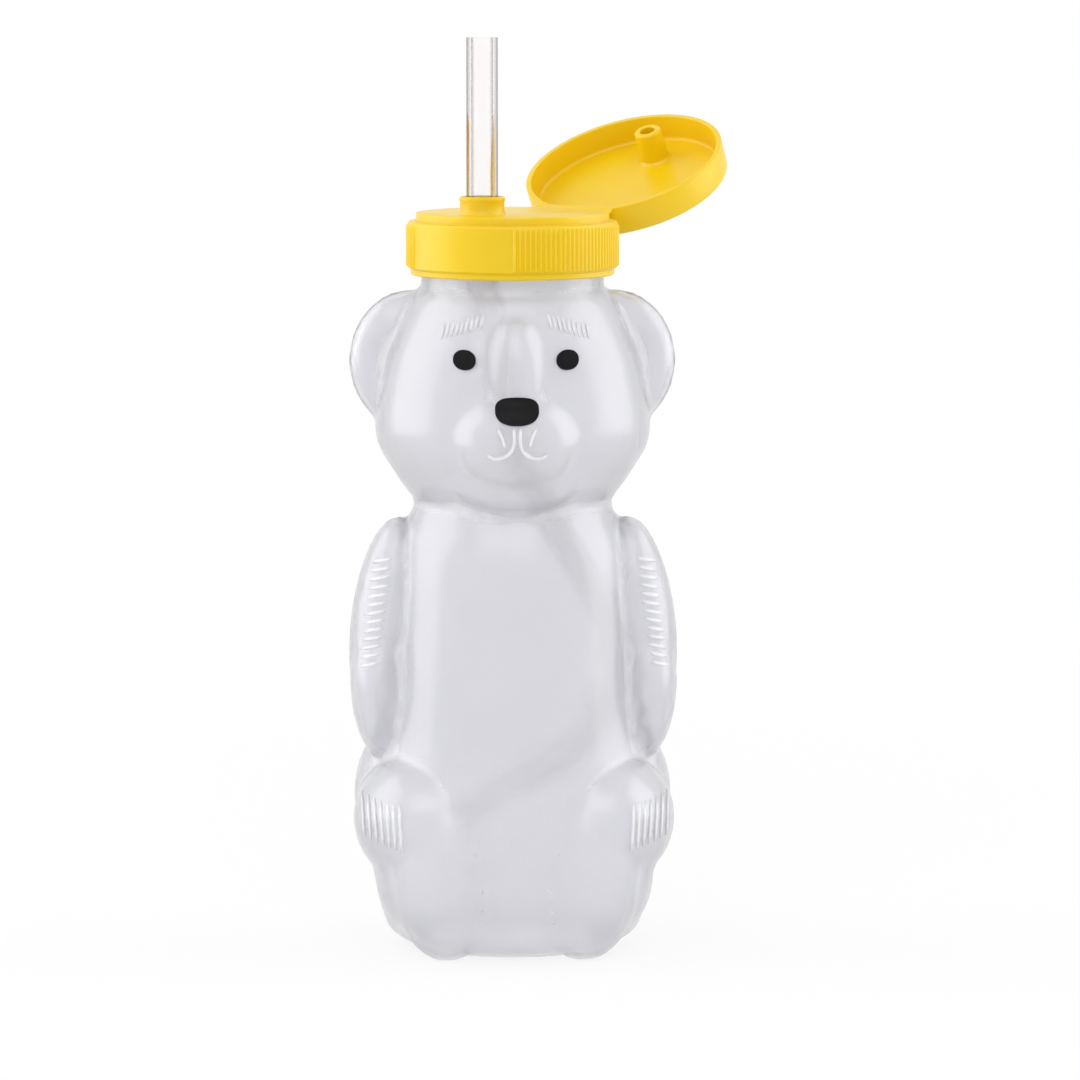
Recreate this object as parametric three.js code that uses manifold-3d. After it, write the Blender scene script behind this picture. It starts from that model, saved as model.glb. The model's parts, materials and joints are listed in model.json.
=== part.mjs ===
// Honey bear straw cup: a blow-moulded bear bottle, a screw cap with a flip lid on a living hinge, and a
// soft straw. Millimetres, +Z up. The origin is on the neck's axis, on the plane that the bear sits on, and
// the bear faces -Y.
import * as THREE from "three";
import { mergeVertices } from "three/addons/utils/BufferGeometryUtils.js";
import Module from "manifold-3d";

const wasm = await Module();
wasm.setup();

// Bottle: a round outline from the base to the neck. The body's low stations are measured up from the base,
// its chest down from the neckline, the head's low stations up from the neckline and its high ones down
// from the neck's root.
const WALL = 1.0;
const BODY_HEIGHT = 86;
const HEAD_HEIGHT = 40.5;
const BODY_DEPTH_SCALE = 0.98;
const BASE_R = 19;
const FOOT_R = 25.4;
const FOOT_ABOVE_BASE = 7;
const HIP_R = 28.4;
const HIP_ABOVE_BASE = 26;
const WAIST_R = 26;
const WAIST_ABOVE_BASE = 38;
const BELLY_R = 24.4;
const CHEST_R = 22.6;
const CHEST_BELOW_NECKLINE = 11;
const NECKLINE_R = 18.6;
const JOWL_R = 24.6;
const JOWL_ABOVE_NECKLINE = 5.7;
const CHEEK_R = 26.3;
const CHEEK_ABOVE_NECKLINE = 13.5;
const BROW_R = 24.4;
const BROW_BELOW_NECK_ROOT = 13.5;
const CROWN_R = 20;
const CROWN_BELOW_NECK_ROOT = 2.9;

// Ears, face and limbs: half sizes across, front to back and up, how deep each middle is sunk below the
// round body's surface, and how far it stands above or below the station that it belongs to.
const EAR_HALF = [12, 5.6, 12.4];
const EAR_SINK = 5.1;
const EAR_BACK = 1.5;
const EAR_ABOVE_BROW = 0.8;
const MUZZLE_HALF = [12, 9, 10];
const MUZZLE_SINK = 5;
const MUZZLE_BELOW_CHEEK = 0.2;
const BRIDGE_HALF = [6.2, 6.5, 14];
const BRIDGE_SINK = 3.7;
const BRIDGE_BELOW_BROW = 4.5;
const UPPER_ARM_HALF = [6.9, 9.5, 20];
const UPPER_ARM_SINK = 0.7;
const UPPER_ARM_FORWARD = 3;
const UPPER_ARM_ABOVE_BELLY = 7;
const UPPER_ARM_TILT_DEG = 9;
const FOREARM_HALF = [5.6, 8.5, 13.5];
const FOREARM_SINK = 0.4;
const FOREARM_FORWARD = 6;
const FOREARM_ABOVE_WAIST = 12.5;
const FOREARM_TILT_DEG = -3;
const THIGH_HALF = [13.8, 19, 13.5];
const THIGH_SINK = 11.5;
const THIGH_FORWARD = 7;
const LEG_HALF = [9.6, 10, 14];
const LEG_OUT = 13.6;
const LEG_SINK = 8.4;
const LEG_LIFT = 12.6;

// Printed eyes and nose: thin ink pads that follow the face.
const PRINT_THICKNESS = 0.4;
const PRINT_GAP = 0.3;
const EYE_SIZE = [4.2, 3.7];
const EYE_OUT = 9.6;
const EYE_ABOVE_BROW = 2.2;
const NOSE_SIZE = [8.2, 5.2];
const NOSE_ABOVE_MUZZLE = 6.1;

// Neck finish, of the 38 mm size, with one right-hand thread.
const NECK_BORE_R = 15.6;
const NECK_WALL = 1.85;
const NECK_HEIGHT = 10.8;
const THREAD_PITCH = 4.233;
const THREAD_HEIGHT = 1.1;
const THREAD_ROOT = 2;
const THREAD_CREST = 0.9;
const THREAD_BELOW_RIM = 2;
const THREAD_RUNOUT_STEPS = 2.5;
const THREAD_END_SHARE = 0.12;
const NECK_THREAD_TURNS = 1.2;
const CAP_THREAD_TURNS = 0.66;
const THREAD_CLEARANCE = 0.3;

// Seal: a flat ring in the cap that presses on the neck's rim.
const SEAL_THICKNESS = 1;
const SEAL_GAP = 0.1;

// Screw cap: ribbed skirt, raised deck and the collar that holds the straw.
const CAP_FACING = THREE.MathUtils.degToRad(-35.2);
const SKIRT_WALL = 1.2;
const SKIRT_ABOVE_NECK_ROOT = 2.8;
const SKIRT_BAND_HEIGHT = 1.3;
const SKIRT_BAND_STEP = 0.6;
const RIB_HEIGHT = 0.3;
const RIB_COUNT = 40;
const RIB_FROM_DEG = 34;
const RIB_TO_DEG = 146;
const RIB_FLANK_SHARE = 0.35;
const HALF_TURN_DEG = 180;
const SHOULDER_THICKNESS = 1;
const TOP_THICKNESS = 1.3;
const DECK_RISE = 1.6;
const COLLAR_HEIGHT = 3.5;
const COLLAR_WALL = 0.9;
const COLLAR_FLARE = 0.15;
const SPOUT_TO_NECK = 2.2;

// Flip lid: a D-shaped dish with a hollow plug, on a thin strap across the hinge.
const LID_OPEN = THREE.MathUtils.degToRad(153.5);
const LID_INSET = 0.4;
const LID_WALL = 1;
const LID_TOP = 1;
const LID_CLEARANCE = 0.2;
const LID_FILLET = 1;
const LID_HEADROOM = 0.2;
const HINGE_OUT = 0.4;
const HINGE_TO_LID = 2.5;
const PLUG_CLEARANCE = 0.6;
const PLUG_WALL = 1.2;
const PLUG_LENGTH = 6.6;
const PLUG_BORE_DEPTH = 4;
const STRAP_WIDTH = 16;
const STRAP_THICKNESS = 0.5;
const STRAP_GAP = 0.3;

// Straw: a soft clear tube that hangs through the collar and curls against the inside of the belly.
const STRAW_OD = 6;
const STRAW_WALL = 0.95;
const STRAW_CLEARANCE = 0.3;
const STRAW_ABOVE_COLLAR = 30;
const STRAW_STRAIGHT_BELOW_RIM = 8.5;
const STRAW_WALL_GAP = 1.4;

// The straw's bends in the head: the station that each is measured up from, how far up, across and front to
// back.
const STRAW_IN_HEAD = [
  ["brow", 4, -3.4, -8.2],
  ["cheek", 8, -2.4, -7.8],
  ["jowl", 2, 1.2, -7.2],
  ["neckline", 0.8, 4.9, -7],
];

// Its bends in the belly, where across is a share of the way from the axis to the straw's place against the
// wall.
const STRAW_IN_BELLY = [
  ["chest", 0, 0.61, -6.6],
  ["chest", -9, 0.88, -4.4],
  ["belly", -1.5, 1, -0.5],
  ["waist", 6, 0.9, 4.5],
  ["waist", -1, 0.64, 7.4],
  ["waist", -6, 0.28, 8.8],
  ["hip", 0.5, -0.28, 9],
  ["hip", -3, -0.54, 8.6],
];

// Smoothness of the round forms.
const BODY_SIDES = 36;
const BODY_STEPS = 15;
const HEAD_STEPS = 13;
const CAVITY_SIDES = 24;
const CAP_SIDES = 48;
const ROUND_SIDES = 18;
const CAVITY_ROUND_SIDES = 11;
const RINGS_PER_SIDE = 0.6;
const FILLET_STEPS = 4;
const STRAW_SIDES = 12;
const STRAW_STEPS = 40;
const THREAD_STEPS_PER_TURN = 26;
const OVERCUT = 1;

// Heights of the body's stations. The belly is half way from the waist to the chest.
const necklineZ = BODY_HEIGHT;
const neckRootZ = necklineZ + HEAD_HEIGHT;
const footZ = FOOT_ABOVE_BASE;
const hipZ = HIP_ABOVE_BASE;
const waistZ = WAIST_ABOVE_BASE;
const chestZ = necklineZ - CHEST_BELOW_NECKLINE;
const bellyZ = (waistZ + chestZ) / 2;
const jowlZ = necklineZ + JOWL_ABOVE_NECKLINE;
const cheekZ = necklineZ + CHEEK_ABOVE_NECKLINE;
const browZ = neckRootZ - BROW_BELOW_NECK_ROOT;
const crownZ = neckRootZ - CROWN_BELOW_NECK_ROOT;
const rimZ = neckRootZ + NECK_HEIGHT;
const muzzleZ = cheekZ - MUZZLE_BELOW_CHEEK;

// Radii and heights that follow from the neck, out to the cap and the lid.
const neckR = NECK_BORE_R + NECK_WALL;
const capBoreR = neckR + THREAD_HEIGHT + THREAD_CLEARANCE;
const skirtR = capBoreR + SKIRT_WALL;
const sealLandZ = rimZ + SEAL_GAP + SEAL_THICKNESS + SEAL_GAP;
const shoulderZ = sealLandZ + SHOULDER_THICKNESS;
const deckZ = shoulderZ + DECK_RISE;
const threadZ = rimZ - THREAD_BELOW_RIM - NECK_THREAD_TURNS * THREAD_PITCH;
const skirtBottomZ = neckRootZ + SKIRT_ABOVE_NECK_ROOT;
const collarTopZ = deckZ + COLLAR_HEIGHT;
const strawR = STRAW_OD / 2;
const spoutBoreR = strawR + STRAW_CLEARANCE;
const spoutOffset = NECK_BORE_R - strawR - SPOUT_TO_NECK;
const plugR = spoutBoreR - PLUG_CLEARANCE;
const collarR = spoutBoreR + COLLAR_WALL;
const lidR = skirtR - LID_INSET;
const lidBoreR = lidR - LID_WALL;
const deckR = lidBoreR - LID_CLEARANCE;
const hingeZ = shoulderZ + LID_CLEARANCE;
const hingeR = skirtR + RIB_HEIGHT + HINGE_OUT;
const lidDepth = collarTopZ - hingeZ + LID_HEADROOM;
const lidHeight = lidDepth + LID_TOP;
const upAxis = new THREE.Vector3(0, 0, 1);

// Solids: a closed three.js geometry becomes a manifold solid, and back.
function solid(geometry) {
  const bare = geometry.clone();
  bare.deleteAttribute("normal");
  bare.deleteAttribute("uv");
  const merged = mergeVertices(bare, 1e-4);
  const index = merged.index.array;
  const triVerts = [];
  for (let i = 0; i < index.length; i += 3) {
    const [a, b, c] = [index[i], index[i + 1], index[i + 2]];
    if (a !== b && b !== c && c !== a) triVerts.push(a, b, c);
  }
  const vertProperties = new Float32Array(merged.attributes.position.array);
  const mesh = new wasm.Mesh({ numProp: 3, vertProperties, triVerts: new Uint32Array(triVerts) });
  return new wasm.Manifold(mesh);
}

function geometryOf(shape) {
  const mesh = shape.getMesh();
  const geometry = new THREE.BufferGeometry();
  geometry.setAttribute("position", new THREE.BufferAttribute(new Float32Array(mesh.vertProperties), 3));
  geometry.setIndex(new THREE.BufferAttribute(new Uint32Array(mesh.triVerts), 1));
  geometry.computeVertexNormals();
  return geometry;
}

const union = (shapes) => shapes.reduce((whole, next) => whole.add(next));

// A turned solid about Z from [radius, height] points that run up the outside, closed along the axis.
function turned(points, sides) {
  const outline = points.map(([r, z]) => new THREE.Vector2(r, z));
  const onAxis = (z) => new THREE.Vector2(0, z);
  const closed = [onAxis(outline[0].y), ...outline, onAxis(outline[outline.length - 1].y)];
  return solid(new THREE.LatheGeometry(closed, sides).rotateX(Math.PI / 2));
}

function cylinder(radius, fromZ, toZ, sides, x = 0, y = 0) {
  return turned([[radius, fromZ], [radius, toZ]], sides).translate(x, y, 0);
}

function slab(fromX, toX, fromY, toY, fromZ, toZ) {
  const box = new THREE.BoxGeometry(toX - fromX, toY - fromY, toZ - fromZ);
  return solid(box.translate((fromX + toX) / 2, (fromY + toY) / 2, (fromZ + toZ) / 2));
}

function ellipsoid([x, y, z], half, grow, sides, tiltDeg = 0) {
  const [a, b, c] = half.map((size) => size + grow);
  const ball = new THREE.SphereGeometry(1, sides, Math.round(sides * RINGS_PER_SIDE)).rotateX(Math.PI / 2);
  const tilted = ball.scale(a, b, c).rotateY(THREE.MathUtils.degToRad(tiltDeg));
  return solid(tilted.translate(x, y, z));
}

// One thread: a trapezoid ridge wound on a helix, from a root buried in its wall to its crest, with tapered
// ends.
function thread({ wallR, crestR, zAtStart, from, turns }) {
  const steps = Math.round(turns * THREAD_STEPS_PER_TURN);
  const bury = Math.sign(wallR - crestR) * THREAD_CLEARANCE;
  const inward = crestR < wallR;
  const positions = [];
  for (let i = 0; i <= steps; i++) {
    const turn = from + (i / steps) * turns;
    const taper = Math.min(1, THREAD_END_SHARE + Math.min(i, steps - i) / THREAD_RUNOUT_STEPS);
    const tip = wallR + (crestR - wallR) * taper;
    const middle = zAtStart + turn * THREAD_PITCH;
    const loop = [
      [wallR + bury, middle - THREAD_ROOT / 2],
      [tip, middle - THREAD_CREST / 2],
      [tip, middle + THREAD_CREST / 2],
      [wallR + bury, middle + THREAD_ROOT / 2],
    ];
    if (inward) loop.reverse();
    for (const [r, z] of loop) {
      positions.push(r * Math.cos(2 * Math.PI * turn), r * Math.sin(2 * Math.PI * turn), z);
    }
  }
  const faces = [];
  const at = (ring, corner) => ring * 4 + (corner % 4);
  for (let i = 0; i < steps; i++) {
    for (let k = 0; k < 4; k++) {
      faces.push(at(i, k), at(i + 1, k + 1), at(i, k + 1));
      faces.push(at(i, k), at(i + 1, k), at(i + 1, k + 1));
    }
  }
  faces.push(at(0, 0), at(0, 1), at(0, 2), at(0, 0), at(0, 2), at(0, 3));
  faces.push(at(steps, 0), at(steps, 2), at(steps, 1), at(steps, 0), at(steps, 3), at(steps, 2));
  const geometry = new THREE.BufferGeometry();
  geometry.setAttribute("position", new THREE.Float32BufferAttribute(positions, 3));
  geometry.setIndex(faces);
  return solid(geometry);
}

// The body's outline, as [radius, height] points: a curve from the base to the neckline, and one over the
// head.
function bodyOutline(grow) {
  const toCurve = (stations) => new THREE.SplineCurve(stations.map(([r, z]) => new THREE.Vector2(r, z)));
  const body = toCurve([
    [BASE_R, 0],
    [FOOT_R, footZ],
    [HIP_R, hipZ],
    [WAIST_R, waistZ],
    [BELLY_R, bellyZ],
    [CHEST_R, chestZ],
    [NECKLINE_R, necklineZ],
  ]).getPoints(BODY_STEPS);
  const head = toCurve([
    [NECKLINE_R, necklineZ],
    [JOWL_R, jowlZ],
    [CHEEK_R, cheekZ],
    [BROW_R, browZ],
    [CROWN_R, crownZ],
    [neckR, neckRootZ],
  ]).getPoints(HEAD_STEPS);
  const points = [...body, ...head.slice(1)];
  return points.map((point, i) => {
    const before = points[Math.max(i - 1, 0)];
    const after = points[Math.min(i + 1, points.length - 1)];
    const along = after.clone().sub(before).normalize();
    return [point.x + along.y * grow, point.y - along.x * grow];
  });
}

// Everything that the mould adds to the round body, at its outer size plus grow. Side is -1 or 1.
function faceForms(grow, sides) {
  const muzzle = [0, MUZZLE_SINK - BODY_DEPTH_SCALE * CHEEK_R, muzzleZ];
  const bridge = [0, BRIDGE_SINK - BODY_DEPTH_SCALE * BROW_R, browZ - BRIDGE_BELOW_BROW];
  return [ellipsoid(muzzle, MUZZLE_HALF, grow, sides), ellipsoid(bridge, BRIDGE_HALF, grow, sides)];
}

function limbForms(side, grow, sides) {
  const ear = [side * (BROW_R - EAR_SINK), EAR_BACK, browZ + EAR_ABOVE_BROW];
  const upperArm = [side * (BELLY_R - UPPER_ARM_SINK), -UPPER_ARM_FORWARD, bellyZ + UPPER_ARM_ABOVE_BELLY];
  const forearm = [side * (WAIST_R - FOREARM_SINK), -FOREARM_FORWARD, waistZ + FOREARM_ABOVE_WAIST];
  const thigh = [side * (HIP_R - THIGH_SINK), -THIGH_FORWARD, hipZ];
  const leg = [side * LEG_OUT, LEG_SINK - BODY_DEPTH_SCALE * FOOT_R, LEG_LIFT];
  return [
    ellipsoid(ear, EAR_HALF, grow, sides),
    ellipsoid(upperArm, UPPER_ARM_HALF, grow, sides, -side * UPPER_ARM_TILT_DEG),
    ellipsoid(forearm, FOREARM_HALF, grow, sides, -side * FOREARM_TILT_DEG),
    ellipsoid(thigh, THIGH_HALF, grow, sides),
    ellipsoid(leg, LEG_HALF, grow, sides),
  ];
}

function roundBody(grow, sides) {
  return turned(bodyOutline(grow), sides).scale([1, BODY_DEPTH_SCALE, 1]);
}

// The bear without its neck, grown or shrunk evenly and cut off level at floorZ.
function bear(grow, bodySides, limbSides, floorZ) {
  const forms = [
    roundBody(grow, bodySides),
    ...faceForms(grow, limbSides),
    ...limbForms(-1, grow, limbSides),
    ...limbForms(1, grow, limbSides),
  ];
  const far = 4 * HIP_R;
  return union(forms).subtract(slab(-far, far, -far, far, floorZ - far, floorZ));
}

function bearBottle() {
  const neck = cylinder(neckR, crownZ - WALL, rimZ, CAP_SIDES);
  const neckThread = thread({
    wallR: neckR,
    crestR: neckR + THREAD_HEIGHT,
    zAtStart: threadZ,
    from: 0,
    turns: NECK_THREAD_TURNS,
  });
  const cavity = bear(-WALL, CAVITY_SIDES, CAVITY_ROUND_SIDES, WALL);
  const bore = cylinder(NECK_BORE_R, crownZ - WALL, rimZ + OVERCUT, CAP_SIDES / 2);
  return union([bear(0, BODY_SIDES, ROUND_SIDES, 0), neck, neckThread]).subtract(cavity).subtract(bore);
}

// An ink pad: a thin layer just off the face, trimmed to an oval that is seen from the front.
function facePrint([width, height], x, z) {
  const layer = (grow) => union([roundBody(grow, BODY_SIDES), ...faceForms(grow, ROUND_SIDES)]);
  const oval = new THREE.CylinderGeometry(1, 1, 4 * CHEEK_R, ROUND_SIDES);
  const cutter = solid(oval.scale(width / 2, 1, height / 2).translate(x, -2 * CHEEK_R, z));
  const outside = layer(PRINT_GAP + PRINT_THICKNESS).intersect(cutter);
  return outside.subtract(layer(PRINT_GAP));
}

function sealRing() {
  const fromZ = rimZ + SEAL_GAP;
  const outer = cylinder(capBoreR - THREAD_HEIGHT, fromZ, fromZ + SEAL_THICKNESS, CAP_SIDES);
  return outer.subtract(cylinder(NECK_BORE_R, rimZ, sealLandZ, CAP_SIDES));
}

// The skirt's outline: a circle with V ribs on both sides and a smooth stretch in front and at the hinge.
function skirtOutline() {
  const shape = new THREE.Shape();
  const point = (radius, degrees) => {
    const angle = THREE.MathUtils.degToRad(degrees - 90);
    return new THREE.Vector2(radius * Math.cos(angle), radius * Math.sin(angle));
  };
  const pitch = (RIB_TO_DEG - RIB_FROM_DEG) / RIB_COUNT;
  const plainStep = 360 / CAP_SIDES;
  const points = [];
  for (const start of [0, HALF_TURN_DEG]) {
    const from = start + RIB_FROM_DEG;
    const lastRib = start + RIB_TO_DEG - HALF_TURN_DEG;
    for (let a = lastRib; a < from; a += plainStep) points.push(point(skirtR, a));
    for (let i = 0; i < RIB_COUNT; i++) {
      points.push(point(skirtR, from + i * pitch));
      points.push(point(skirtR + RIB_HEIGHT, from + (i + RIB_FLANK_SHARE) * pitch));
      points.push(point(skirtR + RIB_HEIGHT, from + (i + 1 - RIB_FLANK_SHARE) * pitch));
    }
  }
  return shape.setFromPoints(points);
}

// Where a flat cut leaves the lid's hinge side, and the deck inside it, measured from the cap's axis.
const lidFlatY = hingeR - HINGE_TO_LID;
const deckFlatY = lidFlatY - LID_WALL - LID_CLEARANCE;

function behind(y, shape) {
  const far = 4 * skirtR;
  return shape.subtract(slab(-far, far, y, far, -far, collarTopZ + far));
}

function screwCap() {
  const ribZ = skirtBottomZ + SKIRT_BAND_HEIGHT;
  const ribbed = new THREE.ExtrudeGeometry(skirtOutline(), { depth: shoulderZ - ribZ, bevelEnabled: false });
  const skirt = solid(ribbed.translate(0, 0, ribZ));
  const band = cylinder(skirtR - SKIRT_BAND_STEP, skirtBottomZ, shoulderZ, CAP_SIDES);
  const deck = behind(deckFlatY, cylinder(deckR, skirtBottomZ, deckZ, CAP_SIDES));
  const collar = turned([[collarR, shoulderZ], [collarR + COLLAR_FLARE, collarTopZ]], ROUND_SIDES);
  const inside = cylinder(capBoreR, skirtBottomZ - OVERCUT, sealLandZ, CAP_SIDES);
  const recess = cylinder(NECK_BORE_R, skirtBottomZ, deckZ - TOP_THICKNESS, CAP_SIDES);
  const spoutBore = cylinder(spoutBoreR, skirtBottomZ, collarTopZ + OVERCUT, ROUND_SIDES);
  const capThreadZ = threadZ - (THREAD_ROOT + THREAD_CREST) / 2 - THREAD_CLEARANCE;
  const capThread = thread({
    wallR: capBoreR,
    crestR: neckR + THREAD_CLEARANCE,
    zAtStart: capThreadZ,
    from: (ribZ + THREAD_ROOT / 2 - capThreadZ) / THREAD_PITCH,
    turns: CAP_THREAD_TURNS,
  });
  const inCapFrame = capThread.rotate([0, 0, -THREE.MathUtils.radToDeg(CAP_FACING)]);
  return union([skirt, band, deck, collar.translate(0, -spoutOffset, 0)])
    .subtract(inside)
    .subtract(recess)
    .subtract(spoutBore.translate(0, -spoutOffset, 0))
    .add(inCapFrame);
}

// The lid in its shut place, moved so that the hinge's axis is its origin.
function flipLid() {
  const round = Array.from({ length: FILLET_STEPS + 1 }, (_, i) => {
    const angle = (i / FILLET_STEPS) * (Math.PI / 2);
    return [lidR - LID_FILLET * (1 - Math.cos(angle)), lidHeight - LID_FILLET * (1 - Math.sin(angle))];
  });
  const shell = behind(lidFlatY, turned([[lidR, 0], ...round], CAP_SIDES));
  const dish = behind(lidFlatY - LID_WALL, cylinder(lidBoreR, -OVERCUT, lidDepth, CAP_SIDES));
  const plugEnd = lidDepth - PLUG_LENGTH;
  const plug = cylinder(plugR, plugEnd, lidDepth + LID_TOP / 2, ROUND_SIDES);
  const plugBore = cylinder(plugR - PLUG_WALL, plugEnd - OVERCUT, plugEnd + PLUG_BORE_DEPTH, ROUND_SIDES);
  return shell
    .subtract(dish)
    .add(plug.translate(0, -spoutOffset, 0))
    .subtract(plugBore.translate(0, -spoutOffset, 0))
    .translate(0, -hingeR, 0);
}

// The living hinge about its own axis: flat from the skirt, then bent up towards the open lid.
function hingeStrap() {
  const rise = Math.PI - LID_OPEN;
  const half = STRAP_THICKNESS / 2;
  const reach = HINGE_TO_LID - STRAP_GAP;
  const fromSkirt = HINGE_OUT + RIB_HEIGHT - STRAP_GAP;
  const miter = half * Math.tan(rise / 2);
  const end = (across) => [
    reach * Math.cos(rise) - across * Math.sin(rise),
    reach * Math.sin(rise) + across * Math.cos(rise),
  ];
  const below = [[-fromSkirt, -half], [miter, -half], end(-half)];
  const above = [end(half), [-miter, half], [-fromSkirt, half]];
  const outline = [...below, ...above];
  const shape = new THREE.Shape(outline.map(([y, z]) => new THREE.Vector2(y, z)));
  const strap = new THREE.ExtrudeGeometry(shape, { depth: STRAP_WIDTH, bevelEnabled: false });
  return solid(strap.translate(0, 0, -STRAP_WIDTH / 2).rotateY(Math.PI / 2).rotateX(Math.PI / 2));
}

// The straw's middle line: straight through the collar, then down behind the nose, out to the belly's side
// and back.
function strawRoute() {
  const spout = new THREE.Vector3(0, -spoutOffset, 0).applyAxisAngle(upAxis, CAP_FACING);
  const straight = [collarTopZ + STRAW_ABOVE_COLLAR, collarTopZ, rimZ, rimZ - STRAW_STRAIGHT_BELOW_RIM];
  const side = BELLY_R - WALL - STRAW_WALL_GAP - strawR;
  const stationZ = {
    hip: hipZ,
    waist: waistZ,
    belly: bellyZ,
    chest: chestZ,
    neckline: necklineZ,
    jowl: jowlZ,
    cheek: cheekZ,
    brow: browZ,
  };
  const points = [
    ...straight.map((z) => [spout.x, spout.y, z]),
    ...STRAW_IN_HEAD.map(([station, up, across, y]) => [across, y, stationZ[station] + up]),
    ...STRAW_IN_BELLY.map(([station, up, share, y]) => [share * side, y, stationZ[station] + up]),
  ];
  const middle = points.map(([x, y, z]) => new THREE.Vector3(x, y, z));
  return new THREE.CatmullRomCurve3(middle, false, "centripetal");
}

function drinkingStraw() {
  const circle = (radius) => {
    const corner = (i) => (i / STRAW_SIDES) * 2 * Math.PI;
    return Array.from({ length: STRAW_SIDES }, (_, i) =>
      new THREE.Vector2(radius * Math.cos(corner(i)), radius * Math.sin(corner(i))),
    );
  };
  const section = new THREE.Shape(circle(strawR));
  section.holes.push(new THREE.Path(circle(strawR - STRAW_WALL)));
  const route = strawRoute();
  const options = { steps: STRAW_STEPS, extrudePath: route, bevelEnabled: false };
  return solid(new THREE.ExtrudeGeometry(section, options));
}

// Materials: natural polyethylene, black ink, white foam, yellow polypropylene and clear soft tube.
const naturalPlastic = new THREE.MeshStandardMaterial({
  color: 0xe2e2e8,
  roughness: 0.3,
  metalness: 0,
  transparent: true,
  opacity: 0.45,
});
const blackInk = new THREE.MeshStandardMaterial({ color: 0x17171a, roughness: 0.35, metalness: 0 });
const whiteFoam = new THREE.MeshStandardMaterial({ color: 0xf2f1ec, roughness: 0.7, metalness: 0 });
const yellowPlastic = new THREE.MeshStandardMaterial({ color: 0xf5d21f, roughness: 0.35, metalness: 0 });
const clearTube = new THREE.MeshStandardMaterial({
  color: 0xf3f1f2,
  roughness: 0.15,
  metalness: 0,
  transparent: true,
  opacity: 0.35,
});

function piece(name, shape, material) {
  const mesh = new THREE.Mesh(geometryOf(shape), material);
  mesh.name = name;
  return mesh;
}

const eyeZ = browZ + EYE_ABOVE_BROW;
const noseZ = muzzleZ + NOSE_ABOVE_MUZZLE;

const lidOnHinge = new THREE.Group();
lidOnHinge.position.set(0, hingeR, hingeZ);
lidOnHinge.rotation.x = -LID_OPEN;
lidOnHinge.add(piece("flip_lid", flipLid(), yellowPlastic));

const strapOnHinge = new THREE.Group();
strapOnHinge.position.set(0, hingeR, hingeZ);
strapOnHinge.add(piece("hinge_strap", hingeStrap(), yellowPlastic));

const cap = new THREE.Group();
cap.rotation.z = CAP_FACING;
cap.add(piece("screw_cap", screwCap(), yellowPlastic), strapOnHinge, lidOnHinge);

const cup = new THREE.Group();
cup.add(
  piece("bear_bottle", bearBottle(), naturalPlastic),
  piece("left_eye_print", facePrint(EYE_SIZE, -EYE_OUT, eyeZ), blackInk),
  piece("right_eye_print", facePrint(EYE_SIZE, EYE_OUT, eyeZ), blackInk),
  piece("nose_print", facePrint(NOSE_SIZE, 0, noseZ), blackInk),
  piece("neck_seal", sealRing(), whiteFoam),
  cap,
  piece("drinking_straw", drinkingStraw(), clearTube),
);

export default cup;
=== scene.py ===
# %% [markdown]
# # A bear-shaped straw cup
# The cup is a blow-moulded bottle in the shape of a sitting bear, a moulded screw cap with a flip lid on a
# living hinge, and a soft straw that hangs through the cap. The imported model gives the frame: every piece
# here is made in metres, in the same place as the solid that it stands for.

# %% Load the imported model
import json
import math

import bpy
from mathutils import Matrix, Vector
from mathutils.bvhtree import BVHTree
from mathutils.kdtree import KDTree


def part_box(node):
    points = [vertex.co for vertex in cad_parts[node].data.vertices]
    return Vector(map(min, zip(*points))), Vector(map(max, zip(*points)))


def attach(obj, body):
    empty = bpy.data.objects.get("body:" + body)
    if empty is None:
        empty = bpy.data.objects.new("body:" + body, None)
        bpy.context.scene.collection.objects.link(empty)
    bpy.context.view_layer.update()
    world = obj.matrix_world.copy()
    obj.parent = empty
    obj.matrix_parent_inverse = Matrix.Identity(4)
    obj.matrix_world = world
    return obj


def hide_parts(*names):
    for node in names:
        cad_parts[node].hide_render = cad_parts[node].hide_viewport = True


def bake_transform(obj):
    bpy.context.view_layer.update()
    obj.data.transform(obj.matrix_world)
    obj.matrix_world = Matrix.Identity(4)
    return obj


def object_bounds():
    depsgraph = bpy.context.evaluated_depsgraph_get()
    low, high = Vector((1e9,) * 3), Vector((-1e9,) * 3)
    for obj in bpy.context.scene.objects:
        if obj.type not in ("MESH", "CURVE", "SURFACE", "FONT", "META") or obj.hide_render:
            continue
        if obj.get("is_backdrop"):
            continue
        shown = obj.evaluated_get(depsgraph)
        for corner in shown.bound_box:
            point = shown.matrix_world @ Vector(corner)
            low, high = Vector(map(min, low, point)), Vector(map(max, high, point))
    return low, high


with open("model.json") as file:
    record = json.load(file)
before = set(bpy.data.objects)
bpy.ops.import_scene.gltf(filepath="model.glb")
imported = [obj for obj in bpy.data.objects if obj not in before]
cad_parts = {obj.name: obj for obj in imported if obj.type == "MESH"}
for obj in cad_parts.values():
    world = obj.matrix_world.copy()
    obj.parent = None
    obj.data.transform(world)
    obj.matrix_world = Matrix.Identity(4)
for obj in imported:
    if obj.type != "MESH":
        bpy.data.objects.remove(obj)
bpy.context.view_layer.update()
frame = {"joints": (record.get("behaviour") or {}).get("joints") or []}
MM = 0.001
TOUCH = 0.001 * MM  # points nearer than this are one point

# %% [markdown]
# ## Modelling helpers
# An operator works on whatever is selected, so each step first leaves one object selected and active.
# Most of the cup is round. A round piece starts as one ring, which is extruded and resized from one
# height to the next, as a potter raises a wall. A spin would also do, but the ring stack keeps the
# vertices in neat columns, and the cap's ribs need those.


# %% Select, edit and apply
def pick(piece):
    """Leaves one object selected and active."""
    bpy.ops.object.select_all(action="DESELECT")
    piece.select_set(True)
    bpy.context.view_layer.objects.active = piece


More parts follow.
